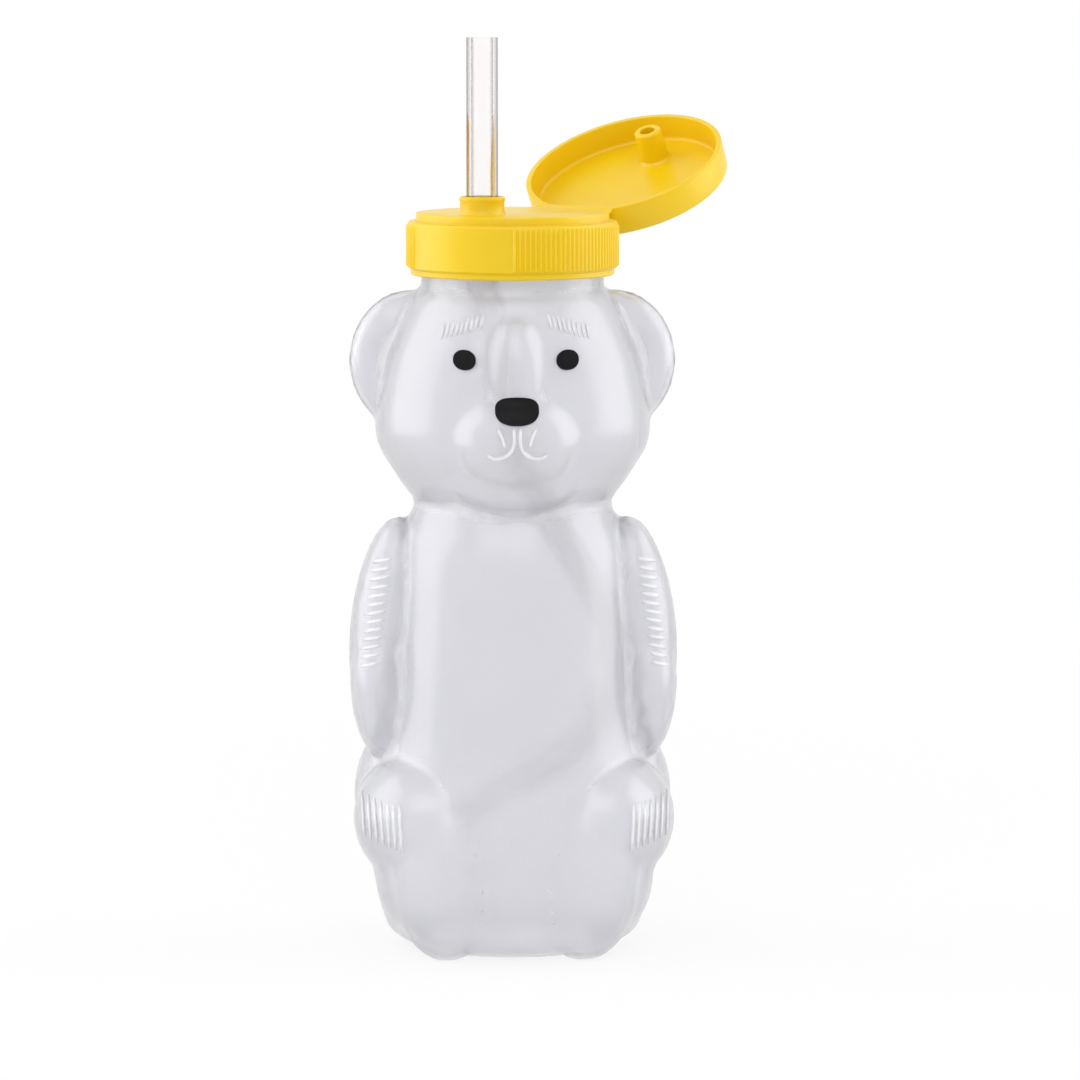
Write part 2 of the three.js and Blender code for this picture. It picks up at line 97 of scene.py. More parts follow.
def apply_modifier(piece, kind, **settings):
    """Adds a modifier with its settings and applies it."""
    modifier = piece.modifiers.new(kind.title(), kind)
    for name, value in settings.items():
        setattr(modifier, name, value)
    pick(piece)
    bpy.ops.object.modifier_apply(modifier=modifier.name)


def combine(piece, tool, operation):
    """Joins a second shape to a piece, or cuts it away, and removes that second shape."""
    apply_modifier(piece, "BOOLEAN", object=tool, operation=operation, solver="EXACT")
    bpy.data.objects.remove(tool)


def apply_place():
    """Writes the active object's place, turn and scale into its mesh."""
    bpy.ops.object.transform_apply(location=True, rotation=True, scale=True)


def place(piece, matrix):
    """Moves a piece by a matrix and writes the move into its mesh."""
    pick(piece)
    piece.matrix_world = matrix @ piece.matrix_world
    apply_place()


def close_up(piece, fill_ends):
    """Fills a piece's open ends, or else merges its doubled points, and turns its faces outwards."""
    pick(piece)
    bpy.ops.object.mode_set(mode="EDIT")
    bpy.ops.mesh.select_all(action="SELECT")
    if fill_ends:
        bpy.ops.mesh.fill_holes(sides=0)
    else:
        bpy.ops.mesh.remove_doubles(threshold=TOUCH)
    bpy.ops.mesh.select_all(action="SELECT")
    bpy.ops.mesh.normals_make_consistent(inside=False)
    bpy.ops.object.mode_set(mode="OBJECT")


def shade_smooth(piece, sharp_from):
    """Shades a piece smooth, but leaves edges crisp from an angle in degrees on."""
    pick(piece)
    bpy.ops.object.shade_smooth_by_angle(angle=math.radians(sharp_from))


# %% Round pieces from stacked rings
def ring_stack(name, profile, sides, closed_loop=False):
    """A round piece about Z through (radius, height) pairs in mm, with both ends filled, or with the last
    ring merged into the first."""
    bpy.ops.object.select_all(action="DESELECT")
    radius, height = profile[0]
    bpy.ops.mesh.primitive_circle_add(vertices=sides, radius=radius * MM, location=(0, 0, height * MM))
    piece = bpy.context.object
    piece.name = name
    bpy.ops.object.mode_set(mode="EDIT")
    bpy.ops.mesh.select_all(action="SELECT")
    for next_radius, next_height in profile[1:]:
        rise = (0, 0, (next_height - height) * MM)
        bpy.ops.mesh.extrude_region_move(TRANSFORM_OT_translate={"value": rise})
        scale = next_radius / radius
        bpy.ops.transform.resize(value=(scale, scale, 1), center_override=(0, 0, next_height * MM))
        radius, height = next_radius, next_height
    bpy.ops.object.mode_set(mode="OBJECT")
    close_up(piece, fill_ends=not closed_loop)
    apply_place()
    return piece


def smooth_line(points, per_span, knot_power):
    """Points on a Catmull-Rom curve through the given ones. A knot power of 0 is the uniform curve, and 0.5
    is the centripetal one, which never loops."""
    points = [Vector(point) for point in points]
    ends = [2 * points[0] - points[1], *points, 2 * points[-1] - points[-2]]
    line = []
    for a, b, c, d in zip(ends, ends[1:], ends[2:], ends[3:]):
        t1 = (b - a).length ** knot_power
        t2 = t1 + (c - b).length ** knot_power
        t3 = t2 + (d - c).length ** knot_power
        for i in range(per_span):
            t = t1 + (t2 - t1) * i / per_span
            ab = a.lerp(b, t / t1)
            bc = b.lerp(c, (t - t1) / (t2 - t1))
            cd = c.lerp(d, (t - t2) / (t3 - t2))
            left = ab.lerp(bc, t / t2)
            right = bc.lerp(cd, (t - t1) / (t3 - t1))
            line.append(left.lerp(right, (t - t1) / (t2 - t1)))
    return [*line, points[-1]]


# %% [markdown]
# ## The bear's round forms
# The mould that blows this bottle was carved: a round trunk and head, and limbs that melt into them. The
# trunk is a ring stack on a smooth outline. The ears, muzzle, chin, arms, hips, thighs, calves and legs
# start as spheres that are resized and turned. Boolean unions join them, a remesh lays one even skin over
# them, and a little smoothing gives the soft fillets that blown plastic has in every corner. Sculpting
# would do too, but named forms are easy to move. The same forms, made smaller by the wall, give the
# hollow inside.

# %% Sizes of the forms
# All sizes are in mm. The trunk and the head are (radius, height) stations. Every other form is a middle,
# its half sizes and, for the arms, a tilt in degrees, for the right side of the bear.
WALL = 1.0
NECK_R = 17.45
NECK_ROOT_Z = 126.5
RIM_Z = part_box("bear_bottle")[1].z / MM
DEPTH_SCALE = 0.98
TRUNK = [(15.5, 0), (21.8, 2), (25.2, 7), (28.4, 26), (26, 38), (24.4, 56.5), (22.6, 75), (18.6, 86)]
HEAD = [(18.6, 86), (22.7, 91.7), (26.3, 99.5), (24.4, 113), (20, 123.6), (NECK_R, NECK_ROOT_Z)]
MUZZLE = ((0, -20.77, 99.3), (12, 9, 10))
CHIN = ((0, -13.5, 92.8), (14, 12, 9))
BRIDGE = ((0, -20.2, 108.5), (6.2, 6.5, 14))
EAR = ((19.3, 1.5, 112.8), (12, 5.6, 13.6))
EAR_DISH = ((23.4, -7.4, 114.4), (8.4, 5.4, 10))
UPPER_ARM = ((24.1, -3, 63.2), (7.0, 9.5, 20.2), -7)
FOREARM = ((25.6, -6, 50.5), (5.6, 8.5, 13.5), 3)
HIP = ((15.5, 2, 29.5), (15, 15, 17))
THIGH = ((16.9, -8, 26), (13.8, 18, 13.5))
CALF = ((16.6, -9.5, 15.5), (10, 14, 13))
LEG = ((13, -15.8, 17.6), (11.2, 12, 18.2))
LIMBS = (UPPER_ARM, FOREARM, HIP, THIGH, CALF, LEG)


# %% Trunk and head
BODY_SIDES = 96
SPARE = 4


def outline(stations, grow):
    """The stations' smooth outline, grown sideways, as (radius, height) pairs."""
    return [(point.x + grow, point.y) for point in smooth_line(stations, per_span=6, knot_power=0)]


def trunk_and_head(grow):
    """The round body with some spare length below its base and above its rim."""
    base = [(TRUNK[0][0] + grow, -SPARE)]
    neck = [(NECK_R + grow, RIM_Z + 2 * SPARE)]
    profile = base + outline(TRUNK, grow) + outline(HEAD, grow)[1:] + neck
    body = ring_stack("bear_shell", profile, BODY_SIDES)
    place(body, Matrix.Diagonal((1, DEPTH_SCALE, 1, 1)))
    return body


# %% Ears, face and limbs
BALL_SIDES = 48


def ball(form, grow):
    """A sphere resized to a form's half sizes in mm, grown, turned about Y and moved to its middle."""
    middle, half, *tilt = form
    bpy.ops.object.select_all(action="DESELECT")
    bpy.ops.mesh.primitive_uv_sphere_add(
        segments=BALL_SIDES,
        ring_count=BALL_SIDES // 2,
        radius=1,
        location=Vector(middle) * MM,
        rotation=(0, math.radians(sum(tilt)), 0),
        scale=[(size + grow) * MM for size in half],
    )
    apply_place()
    return bpy.context.object


def on_side(form, side):
    """A form of the right side, or its mirror on the left."""
    (x, y, z), half, *tilt = form
    return ((side * x, y, z), half, *[side * angle for angle in tilt])


def face_and_limbs(grow):
    """Everything that the mould adds to the round body. The ears are dished in front."""
    forms = [ball(form, grow) for form in (MUZZLE, CHIN, BRIDGE)]
    for side in (-1, 1):
        ear = ball(on_side(EAR, side), grow)
        combine(ear, ball(on_side(EAR_DISH, side), -grow), "DIFFERENCE")
        forms += [ear] + [ball(on_side(form, side), grow) for form in LIMBS]
    return forms


# %% One soft skin, cut level at both ends
def cut_level(piece, height, keep_above):
    """Cuts a piece along a level plane, keeps one side of it and fills the cut."""
    pick(piece)
    bpy.ops.object.mode_set(mode="EDIT")
    bpy.ops.mesh.select_all(action="SELECT")
    bpy.ops.mesh.bisect(
        plane_co=(0, 0, height * MM),
        plane_no=(0, 0, 1),
        threshold=TOUCH,
        use_fill=True,
        clear_inner=keep_above,
        clear_outer=not keep_above,
    )
    bpy.ops.mesh.select_all(action="SELECT")
    bpy.ops.mesh.normals_make_consistent(inside=False)
    bpy.ops.object.mode_set(mode="OBJECT")


FILLET_PASSES = 8
OUTER_CELL = 0.8
INNER_CELL = 1.0


def bear_solid(grow, cell, floor_z, top_z):
    """The bear as one closed solid, grown or shrunk evenly."""
    body = trunk_and_head(grow)
    for form in face_and_limbs(grow):
        combine(body, form, "UNION")
    apply_modifier(body, "REMESH", mode="VOXEL", voxel_size=cell * MM)
    apply_modifier(body, "SMOOTH", factor=0.5, iterations=FILLET_PASSES)
    cut_level(body, floor_z, keep_above=True)
    cut_level(body, top_z, keep_above=False)
    return body


bear = bear_solid(grow=0, cell=OUTER_CELL, floor_z=0, top_z=RIM_Z)
hollow = bear_solid(grow=-WALL, cell=INNER_CELL, floor_z=WALL, top_z=RIM_Z + SPARE)
face_finder = BVHTree.FromObject(bear, bpy.context.evaluated_depsgraph_get())
print("outer and inner skin:", len(bear.data.polygons), len(hollow.data.polygons), "faces")

# %% [markdown]
# ## Creases
# Natural polyethylene is milkier where it is thick, and the creases between the forms also catch bright
# reflections of the lamps, so they are painted whiter than the open skin: partly the thicker plastic, partly
# a painted highlight. They could be painted by hand. Here they are measured: a vertex that lies below the
# mean of its neighbours is in a crease, and how far below says how deep. The depths are kept until the bear
# is finished.

# %% Where the skin folds inwards
FOLD_PASSES = 6


def neighbour_means(mesh, values):
    """For each vertex, the mean of a value over the vertices that share an edge with it."""
    sums = [value * 0 for value in values]
    counts = [0 for _ in values]
    for edge in mesh.edges:
        for here, there in (edge.vertices, reversed(edge.vertices)):
            sums[here] += values[there]
            counts[here] += 1
    return [total / count for total, count in zip(sums, counts)]


def fold_depths(mesh):
    """How far each vertex lies below the mean of its neighbours, in mm. It is above zero in a crease."""
    means = neighbour_means(mesh, [v.co for v in mesh.vertices])
    depths = [(mean - v.co).dot(v.normal) / MM for mean, v in zip(means, mesh.vertices)]
    for _ in range(FOLD_PASSES):
        depths = neighbour_means(mesh, depths)
    return depths


folds = fold_depths(bear.data)
skin_points = KDTree(len(folds))
for vertex in bear.data.vertices:
    skin_points.insert(vertex.co, vertex.index)
skin_points.balance()
print("deepest fold, mm:", round(max(folds), 3))

# %% [markdown]
# ## Fur and mouth
# The mould maker cut short strokes for fur on the brows, arms and thighs, and fine lines for the mouth.
# They stand out from the skin, which a bump in the material can't give, so each is a thin bead
# laid on the surface that a ray finds, and one boolean union joins them all to the bear. The hollow is
# cut out last, so that the strokes stay on the outside, as on a blown bottle.

# %% Beads on the skin
IN_FRONT = 100  # mm before the bear's middle, where rays start
TIP = 0.55  # how thin a bead's two ends are beside its middle


def on_skin(x, z, out=0.0):
    """The point on the bear's front at x and z, in mm, moved out along the skin's normal."""
    start = Vector((x * MM, -IN_FRONT * MM, z * MM))
    hit, normal, _, _ = face_finder.ray_cast(start, Vector((0, 1, 0)))
    if hit is None:
        raise RuntimeError(f"no skin in front at x {x}, z {z}")
    return hit + normal * out * MM


def bead(route, radius, sink):
    """A round-ended bead along (x, z) places on the bear's front, as a mesh."""
    curve = bpy.data.curves.new("bead", "CURVE")
    curve.dimensions = "3D"
    curve.bevel_depth = radius * MM
    curve.bevel_resolution = 1
    curve.use_fill_caps = True
    spline = curve.splines.new("POLY")
    spline.points.add(len(route) - 1)
    for i, (x, z) in enumerate(route):
        spline.points[i].co = (*on_skin(x, z, -sink), 1)
        spline.points[i].radius = TIP if i in (0, len(route) - 1) else 1
    piece = bpy.data.objects.new("bead", curve)
    bpy.context.scene.collection.objects.link(piece)
    pick(piece)
    bpy.ops.object.convert(target="MESH")
    return bpy.context.object


def stroke(start, end, steps=4):
    """Evenly spaced (x, z) places from one end of a stroke to the other."""
    return [tuple(a + (b - a) * i / steps for a, b in zip(start, end)) for i in range(steps + 1)]


# %% Fur strokes
FUR_R = 0.45
FUR_SINK = 0.05
BROW_R = 0.34
BROW_STROKES = 9
BROW_OUTER_X, BROW_WIDTH = 13.6, 7.2
BROW_Z, BROW_RISE = 119.6, 2.0
BROW_HALF, BROW_LEAN = 1.4, 0.3
ARM_STROKES = 13
ARM_FUR_TOP_Z, ARM_FUR_HEIGHT = 75.5, 19.5
ARM_INNER_X, ARM_INNER_SPREAD = 23.2, 2.7
ARM_OUTER_X, ARM_OUTER_SPREAD = 27.0, 2.3
ARM_OUTER_DROP, ARM_INNER_RISE = 0.5, 0.4
THIGH_STROKES = 7
THIGH_FUR_X, THIGH_FUR_PITCH, THIGH_FUR_LEAN = 29.0, 1.15, 0.5
THIGH_FUR_TOP_Z, THIGH_TOP_STEP = 31.6, 0.2
THIGH_FUR_LOW_Z, THIGH_LOW_STEP = 23.6, 0.3
beads = []
for side in (-1, 1):
    for i in range(BROW_STROKES):
        share = i / (BROW_STROKES - 1)
        x = side * (BROW_OUTER_X - BROW_WIDTH * share)
        z = BROW_Z + BROW_RISE * share
        low = (x + side * BROW_LEAN, z - BROW_HALF)
        high = (x - side * BROW_LEAN, z + BROW_HALF)
        beads.append(bead(stroke(low, high, steps=3), BROW_R, FUR_SINK))
    for i in range(ARM_STROKES):
        share = i / (ARM_STROKES - 1)
        z = ARM_FUR_TOP_Z - ARM_FUR_HEIGHT * share
        outer = (side * (ARM_OUTER_X + ARM_OUTER_SPREAD * share), z - ARM_OUTER_DROP)
        inner = (side * (ARM_INNER_X + ARM_INNER_SPREAD * share), z + ARM_INNER_RISE)
        beads.append(bead(stroke(outer, inner), FUR_R, FUR_SINK))
    for i in range(THIGH_STROKES):
        x = THIGH_FUR_X - THIGH_FUR_PITCH * i
        high = (side * x, THIGH_FUR_TOP_Z - THIGH_TOP_STEP * i)
        low = (side * (x - THIGH_FUR_LEAN), THIGH_FUR_LOW_Z - THIGH_LOW_STEP * i)
        beads.append(bead(stroke(high, low, steps=5), FUR_R, FUR_SINK))
print("fur strokes:", len(beads))

# %% Mouth lines
MOUTH_R = 0.45
LIP = [(0.6, 102.4), (0.6, 99.4), (1.2, 97.9), (2.6, 96.9), (4.2, 96.7), (5.7, 97.4)]
NOSE_FOLD = [(3.6, 102.3), (2.7, 100.4), (2.3, 98.8)]
for side in (-1, 1):
    for line in (LIP, NOSE_FOLD):
        smooth = smooth_line([(side * x, z, 0) for x, z in line], per_span=4, knot_power=0.5)
        beads.append(bead([(point.x, point.y) for point in smooth], MOUTH_R, FUR_SINK))
pick(beads[0])
for piece in beads:
    piece.select_set(True)
bpy.ops.object.join()
strokes = bpy.context.object
close_up(strokes, fill_ends=False)
combine(bear, strokes, "UNION")
print("bear with its strokes:", len(bear.data.polygons), "faces")

# %% [markdown]
# ## Neck thread
# The cap screws onto one ridge that winds round the neck. It could be swept along a helix. A small ring
# for its section, and a Screw modifier that turns and lifts it, make the same ridge in one go. With the
# thread on, the bear's outside is finished, and the hollow is cut out of it.

# %% Thread
THREAD_PITCH = 4.233
THREAD_TURNS = 1.2
THREAD_START_Z = 130.22
THREAD_R = 0.85
THREAD_STEPS = 72
bpy.ops.object.select_all(action="DESELECT")
bpy.ops.mesh.primitive_circle_add(
    vertices=8,
    radius=THREAD_R * MM,
    location=(NECK_R * MM, 0, THREAD_START_Z * MM),
    rotation=(math.pi / 2, 0, 0),
)
thread = bpy.context.object
apply_place()
apply_modifier(
    thread,
    "SCREW",
    angle=2 * math.pi * THREAD_TURNS,
    screw_offset=THREAD_PITCH * THREAD_TURNS * MM,
    steps=THREAD_STEPS,
    render_steps=THREAD_STEPS,
)
close_up(thread, fill_ends=True)
combine(bear, thread, "UNION")
combine(bear, hollow, "DIFFERENCE")
print("hollow bear:", len(bear.data.polygons), "faces")

# %% [markdown]
# ## Thick plastic and painted highlights
# The raised strokes and the creases are thicker than the open skin, and they catch bright reflections of the
# lamps, so they are made whiter: partly the thicker plastic, partly a painted highlight. An attribute on the
# mesh keeps this for the material: 0 on the open skin, up to 0.45 in a crease, and more on a stroke. It
# belongs to the piece, so it stays in place whichever way the bear is turned.

# %% Relief of strokes and creases
FOLD_FROM, FOLD_TO = 0.011, 0.035
# The whitest a crease gets: partly the milkier thick plastic, partly a painted highlight for the lamps'
# reflections in the crease.
FOLD_THICKNESS_AND_HIGHLIGHT = 0.45
relief = bear.data.attributes.new("relief", "FLOAT", "POINT")
for vertex in bear.data.vertices:
    skin, normal, _, _ = face_finder.find_nearest(vertex.co)
    height = (vertex.co - skin).dot(normal) / MM
    fold = folds[skin_points.find(vertex.co)[1]] if abs(height) < FUR_SINK else 0
    crease = FOLD_THICKNESS_AND_HIGHLIGHT * min(max((fold - FOLD_FROM) / (FOLD_TO - FOLD_FROM), 0), 1)
    relief.data[vertex.index].value = min(max(height / FUR_R, crease), 1)
print("vertices on strokes or in creases:", sum(spot.value > 0 for spot in relief.data))
shade_smooth(bear, sharp_from=38)
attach(bear, "bottle")
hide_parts("bear_bottle")

# %% [markdown]
# ## Printed eyes and nose
# The eyes and the nose are black ink, printed after moulding. They could be painted in the bear's
# material, but the ink is a layer with an edge. So each starts as a flat disc of fine rings, stretched to
# an oval. A Shrinkwrap modifier drops it onto the face, and Solidify gives the ink a body.

# %% Ink ovals on the face
INK_START = 10
INK_GAP = 0.3
INK_THICKNESS = 0.4
DISC_RINGS = 8
DISC_SIDES = 48


def ink_oval(name, node, squareness, drop=0.0):
    """An oval of ink, as wide and tall as its CAD node, laid on the bear's face. Its upper and lower halves
    each have a squareness, and it can sit lower than the node by a drop in mm."""
    low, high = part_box(node)
    bpy.ops.object.select_all(action="DESELECT")
    bpy.ops.mesh.primitive_circle_add(vertices=DISC_SIDES, radius=1, fill_type="NGON")
    disc = bpy.context.object
    disc.name = name
    bpy.ops.object.mode_set(mode="EDIT")
    bpy.ops.mesh.select_all(action="SELECT")
    for _ in range(DISC_RINGS - 1):
        bpy.ops.mesh.inset(thickness=1 / DISC_RINGS)
    bpy.ops.mesh.poke()
    bpy.ops.object.mode_set(mode="OBJECT")
    for vertex in disc.data.vertices:
        power = squareness[0] if vertex.co.y > 0 else squareness[1]
        turn = math.atan2(vertex.co.y, vertex.co.x)
        stretch = (abs(math.cos(turn)) ** power + abs(math.sin(turn)) ** power) ** (-1 / power)
        vertex.co *= stretch
    size = Matrix.Diagonal(((high.x - low.x) / 2, (high.z - low.z) / 2, 1, 1))
    upright = Matrix.Rotation(math.pi / 2, 4, "X")
    middle = (low + high) / 2
    in_front = Matrix.Translation((middle.x, low.y - INK_START * MM, middle.z - drop * MM))
    place(disc, in_front @ upright @ size)
    apply_modifier(
        disc,
        "SHRINKWRAP",
        target=bear,
        wrap_method="PROJECT",
        use_project_y=True,
        use_project_z=False,
        use_negative_direction=False,
        use_positive_direction=True,
        offset=INK_GAP * MM,
    )
    apply_modifier(disc, "SOLIDIFY", thickness=INK_THICKNESS * MM, offset=1)
    shade_smooth(disc, sharp_from=40)
    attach(disc, "bottle")
    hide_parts(node)
    return disc


EYE_DROP = 0.65
EYE_SQUARENESS = (2.2, 2.1)
NOSE_SQUARENESS = (2.5, 2.4)
ink_pieces = [
    ink_oval("left_eye", "left_eye_print", EYE_SQUARENESS, EYE_DROP),
    ink_oval("right_eye", "right_eye_print", EYE_SQUARENESS, EYE_DROP),
    ink_oval("nose", "nose_print", NOSE_SQUARENESS),
]
print("ink ovals:", [len(piece.data.polygons) for piece in ink_pieces])

# %% [markdown]
# ## The screw cap
# The closure is one yellow moulding: a skirt with fine grip ribs on both sides and a smooth front, a
# raised deck with a flat side at the hinge, and a collar that holds the straw. The ribs could be an array
# of small blocks round a plain skirt. Instead the skirt is a ring stack of 512 columns, four to a rib,
# and two columns of each rib are pushed out, which needs no joining and keeps the walls between them
# straight.

# %% The cap's frame
hinge = next(joint for joint in frame["joints"] if joint["name"] == "lid_hinge")
HINGE_AT = Vector(hinge["pos_m"]) / MM
HINGE_R = HINGE_AT.xy.length
HINGE_Z = HINGE_AT.z
CAP_TURN = math.atan2(HINGE_AT.y, HINGE_AT.x) - math.pi / 2
cap_frame = Matrix.Rotation(CAP_TURN, 4, "Z")
print("hinge radius and height, mm:", round(HINGE_R, 2), round(HINGE_Z, 2))
print("turn of the cap, degrees:", round(math.degrees(CAP_TURN), 1))

# %% Skirt, shoulder and deck
SKIRT_Z, COLLAR_TOP_Z = (corner.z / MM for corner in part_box("screw_cap"))
SKIRT_R = 20.05
BAND_R = 19.45
BAND_TOP_Z = SKIRT_Z + 1.3
CAP_BORE_R = 18.85
SEAL_LAND_Z = RIM_Z + 1.2
SHOULDER_Z = HINGE_Z - 0.2
DECK_Z = SHOULDER_Z + 1.6
DECK_R = 18.45
DECK_FLAT_Y = 17.05
RECESS_R = 15.6
RECESS_Z = DECK_Z - 1.3
RIB_COLUMNS = 512
RIB_HEIGHT = 0.3
RIBS_FROM, RIBS_TO = 34, 146
EDGE = 0.25
cap_profile = [
    (1, RECESS_Z),
    (RECESS_R, RECESS_Z),
    (RECESS_R, SEAL_LAND_Z),
    (CAP_BORE_R, SEAL_LAND_Z),
    (CAP_BORE_R, SKIRT_Z + EDGE),
    (CAP_BORE_R + EDGE / 2, SKIRT_Z),
    (BAND_R - EDGE, SKIRT_Z),
    (BAND_R, SKIRT_Z + EDGE),
    (BAND_R, BAND_TOP_Z - EDGE),
    (SKIRT_R - EDGE, BAND_TOP_Z),
    (SKIRT_R, BAND_TOP_Z + EDGE),
    (SKIRT_R, BAND_TOP_Z + 2 * EDGE),
    (SKIRT_R, SHOULDER_Z - 4 * EDGE),
    (SKIRT_R, SHOULDER_Z - 2 * EDGE),
    (SKIRT_R - EDGE / 3, SHOULDER_Z - EDGE),
    (SKIRT_R - EDGE, SHOULDER_Z - EDGE / 3),
    (SKIRT_R - 2 * EDGE, SHOULDER_Z),
    (DECK_R + EDGE / 2, SHOULDER_Z),
    (DECK_R, SHOULDER_Z + EDGE / 2),
    (DECK_R, DECK_Z - EDGE),
    (DECK_R - EDGE / 3, DECK_Z - EDGE / 3),
    (DECK_R - EDGE, DECK_Z),
    (1, DECK_Z),
]
cap = ring_stack("cap_shell", cap_profile, RIB_COLUMNS)
print("cap:", len(cap.data.vertices), "vertices")

# %% Grip ribs
RIB_RINGS = (BAND_TOP_Z + 2 * EDGE, SHOULDER_Z - 4 * EDGE)
NEAR = 0.01


def in_rib(vertex):
    """True for the two raised columns of each rib, which run up both sides of the cap."""
    if not any(abs(vertex.co.z / MM - height) < NEAR for height in RIB_RINGS):
        return False
    if vertex.co.xy.length < (SKIRT_R - NEAR) * MM:
        return False
    from_front = abs(math.degrees(math.atan2(vertex.co.x, -vertex.co.y)))
    column = round(from_front / 360 * RIB_COLUMNS)
    return RIBS_FROM < from_front < RIBS_TO and column % 4 in (1, 2)


pick(cap)
for vertex in cap.data.vertices:
    vertex.select = in_rib(vertex)
for edge in cap.data.edges:
    edge.select = False
for face in cap.data.polygons:
    face.select = False
bpy.ops.object.mode_set(mode="EDIT")
bpy.ops.mesh.select_mode(type="VERT")
push = (SKIRT_R + RIB_HEIGHT) / SKIRT_R
bpy.ops.transform.resize(value=(push, push, 1), center_override=(0, 0, 0))
bpy.ops.object.mode_set(mode="OBJECT")
print("raised vertices:", sum(in_rib(vertex) for vertex in cap.data.vertices))

# %% Deck flat, collar and straw hole
SPOUT_OFFSET = 10.4
SPOUT_BORE_R = 3.3
COLLAR_R = 4.2
COLLAR_LIP = 0.15
COLLAR_SIDES = 64
BEYOND = 40
to_spout = Matrix.Translation((0, -SPOUT_OFFSET * MM, 0))


def block(low, high):
    """A cube stretched between two corners in mm, for cutting."""
    bpy.ops.object.select_all(action="DESELECT")
    low, high = Vector(low) * MM, Vector(high) * MM
    bpy.ops.mesh.primitive_cube_add(size=1, location=(low + high) / 2, scale=high - low)
    apply_place()
    return bpy.context.object


behind_flat = block((-BEYOND, DECK_FLAT_Y, SHOULDER_Z), (BEYOND, BEYOND, DECK_Z + BEYOND))
combine(cap, behind_flat, "DIFFERENCE")
collar_profile = [
    (COLLAR_R + 0.9, DECK_Z - 0.6),
    (COLLAR_R + 0.9, DECK_Z),
    (COLLAR_R + 0.4, DECK_Z + 0.12),
    (COLLAR_R + 0.1, DECK_Z + 0.5),
    (COLLAR_R, DECK_Z + 1.1),
    (COLLAR_R, COLLAR_TOP_Z - 1.0),
    (COLLAR_R + COLLAR_LIP, COLLAR_TOP_Z - 0.7),
    (COLLAR_R + COLLAR_LIP, COLLAR_TOP_Z - 0.25),
    (COLLAR_R - 0.1, COLLAR_TOP_Z),
]
collar = ring_stack("collar", collar_profile, COLLAR_SIDES)
place(collar, to_spout)
combine(cap, collar, "UNION")
bore_profile = [
    (SPOUT_BORE_R, RECESS_Z - 2),
    (SPOUT_BORE_R, COLLAR_TOP_Z - 0.35),
    (SPOUT_BORE_R + 0.4, COLLAR_TOP_Z + 0.1),
]
bore = ring_stack("spout_bore", bore_profile, COLLAR_SIDES)
place(bore, to_spout)
combine(cap, bore, "DIFFERENCE")
place(cap, cap_frame)
shade_smooth(cap, sharp_from=32)
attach(cap, "cap")
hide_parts("screw_cap")
print("cap:", len(cap.data.polygons), "faces")

# %% [markdown]
# ## The flip lid
# The lid is a shallow D-shaped dish. Its flat side sits at the hinge, and a hollow plug shuts the collar
# once the straw is out. It is easiest to model shut, over the deck: one solid D, less a smaller D for the
# dish, plus the plug. Then it is turned about the hinge to where the photograph shows it, and from there
# into the cap's frame.

# %% Dish and plug
LID_R = 19.65
LID_WALL = 1.0
LID_TOP = 1.0
LID_FLAT_Y = HINGE_R - 2.5
DISH_Z = COLLAR_TOP_Z + 0.2
LID_TOP_Z = DISH_Z + LID_TOP
LID_FILLET = 1.2
DISH_FILLET = 0.8
FILLET_STEPS = 6
LID_SIDES = 160
LID_ROUNDING = 0.2
PLUG_R = 2.7
PLUG_BORE_R = 1.5
PLUG_LENGTH = 6.6
PLUG_BORE_DEPTH = 4
PLUG_SIDES = 48
SHARP_DEG = 50


def round_edges(piece, width):
    """Bevels a piece's sharp edges by a width in mm."""
    apply_modifier(
        piece,
        "BEVEL",
        width=width * MM,
        segments=2,
        limit_method="ANGLE",
        angle_limit=math.radians(SHARP_DEG),
    )


def rounded_corner(radius, top, fillet):
    """(radius, height) pairs over a rounded top edge, from the wall in to the flat."""
    quarter = [math.pi / 2 * i / FILLET_STEPS for i in range(FILLET_STEPS + 1)]
    return [(radius - fillet * (1 - math.cos(a)), top - fillet * (1 - math.sin(a))) for a in quarter]


def cut_flat(piece, y):
    """Cuts a piece along an upright plane across Y, keeps the front and fills the cut."""
    pick(piece)
    bpy.ops.object.mode_set(mode="EDIT")
    bpy.ops.mesh.select_all(action="SELECT")
    bpy.ops.mesh.bisect(
        plane_co=(0, y * MM, 0),
        plane_no=(0, 1, 0),
        threshold=TOUCH,
        use_fill=True,
        clear_outer=True,
    )
    bpy.ops.object.mode_set(mode="OBJECT")


lid_edge = rounded_corner(LID_R, LID_TOP_Z, LID_FILLET)
lid = ring_stack("lid_shell", [(LID_R, HINGE_Z), *lid_edge, (1, LID_TOP_Z)], LID_SIDES)
cut_flat(lid, LID_FLAT_Y)
dish_r = LID_R - LID_WALL
dish_edge = rounded_corner(dish_r, DISH_Z, DISH_FILLET)
dish = ring_stack("dish", [(dish_r, HINGE_Z - 1), *dish_edge, (1, DISH_Z)], LID_SIDES)
cut_flat(dish, LID_FLAT_Y - LID_WALL)
combine(lid, dish, "DIFFERENCE")
plug_end = DISH_Z - PLUG_LENGTH
plug_profile = [
    (PLUG_BORE_R, plug_end + PLUG_BORE_DEPTH),
    (PLUG_BORE_R, plug_end + 0.2),
    (PLUG_BORE_R + 0.2, plug_end),
    (PLUG_R - 0.45, plug_end),
    (PLUG_R - 0.1, plug_end + 0.3),
    (PLUG_R, plug_end + 0.8),
    (PLUG_R, DISH_Z - 0.6),
    (PLUG_R + 0.5, DISH_Z),
    (PLUG_R + 0.5, DISH_Z + LID_TOP / 2),
]
plug = ring_stack("plug", plug_profile, PLUG_SIDES)
place(plug, to_spout)
combine(lid, plug, "UNION")
round_edges(lid, LID_ROUNDING)
print("lid, shut:", len(lid.data.polygons), "faces")

